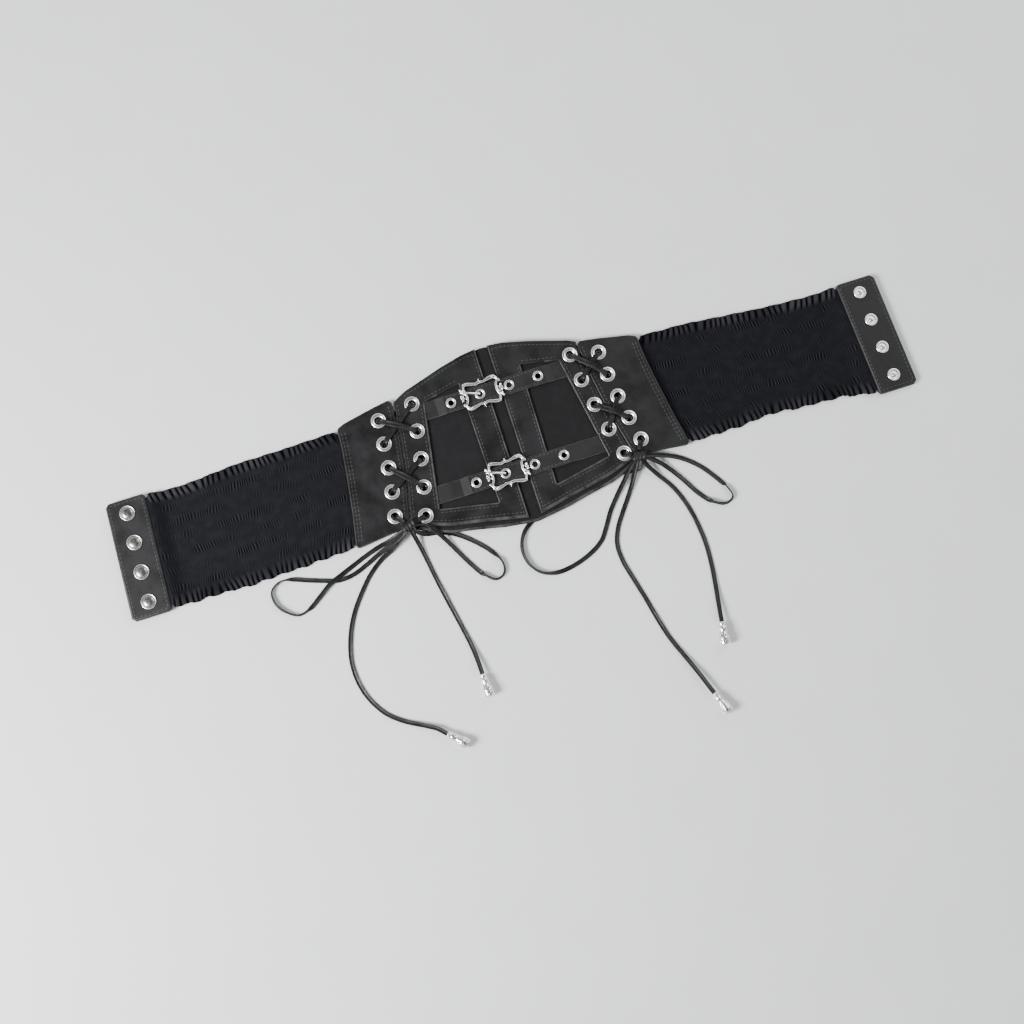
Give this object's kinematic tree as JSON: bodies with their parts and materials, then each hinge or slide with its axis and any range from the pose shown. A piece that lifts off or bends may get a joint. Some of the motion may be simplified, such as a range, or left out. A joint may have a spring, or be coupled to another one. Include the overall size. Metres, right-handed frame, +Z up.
{
  "type": "wide corset belt with laced wings, strap buckles and elastic sides",
  "caption": "Wide corset belt laid flat: pointed leather-look centre with strap buckles and framed windows, laced wings with bows, shirred elastic sides and snap end tabs.",
  "frame": {"origin": "on the surface that the belt lies on, below the middle of the belt without its loose bows", "axes": "+X along the belt towards the tab with the studs, +Y to the belt's upper edge, +Z up from the surface, out of the front face"},
  "size_m": [0.665, 0.3446, 0.012],
  "materials": {
    "leather": "black leather-look sheet, semi-gloss, fine grain",
    "backing": "black leather-look sheet, softer sheen",
    "strap": "black leather-look strap, semi-gloss",
    "elastic": "blue-black shirred elastic cloth",
    "lace": "black flat folded lace, semi-gloss",
    "metal": "bright nickel plate",
    "antique": "antique silver casting with dark recesses"
  },
  "bodies": {
    "root": {"base_panel": "backing", "centre_half_left": "leather", "wing_left": "leather", "elastic_left": "elastic", "tab_left": "leather", "snap_cap_1": "metal", "snap_cap_2": "metal", "snap_cap_3": "metal", "snap_cap_4": "metal", "lace_eyelet_left_inner_1": "metal", "lace_eyelet_left_inner_2": "metal", "lace_eyelet_left_inner_3": "metal", "lace_eyelet_left_inner_4": "metal", "lace_eyelet_left_inner_5": "metal", "lace_eyelet_left_outer_1": "metal", "lace_eyelet_left_outer_2": "metal", "lace_eyelet_left_outer_3": "metal", "lace_eyelet_left_outer_4": "metal", "lace_eyelet_left_outer_5": "metal", "lace_left_weave": "lace", "bow_left": "lace", "lace_tip_left_long": "antique", "lace_tip_left_short": "antique", "centre_half_right": "leather", "wing_right": "leather", "elastic_right": "elastic", "tab_right": "leather", "snap_stud_1": "metal", "snap_stud_2": "metal", "snap_stud_3": "metal", "snap_stud_4": "metal", "lace_eyelet_right_inner_1": "metal", "lace_eyelet_right_inner_2": "metal", "lace_eyelet_right_inner_3": "metal", "lace_eyelet_right_inner_4": "metal", "lace_eyelet_right_inner_5": "metal", "lace_eyelet_right_outer_1": "metal", "lace_eyelet_right_outer_2": "metal", "lace_eyelet_right_outer_3": "metal", "lace_eyelet_right_outer_4": "metal", "lace_eyelet_right_outer_5": "metal", "lace_right_weave": "lace", "bow_right": "lace", "lace_tip_right_long": "antique", "lace_tip_right_short": "antique", "strap_top": "strap", "strap_eyelet_top_1": "metal", "strap_eyelet_top_2": "metal", "strap_eyelet_top_3": "metal", "strap_eyelet_top_4": "metal", "buckle_top": "antique", "prong_top": "antique", "strap_bottom": "strap", "strap_eyelet_bottom_1": "metal", "strap_eyelet_bottom_2": "metal", "strap_eyelet_bottom_3": "metal", "strap_eyelet_bottom_4": "metal", "buckle_bottom": "antique", "prong_bottom": "antique"}
  },
  "joints": []
}
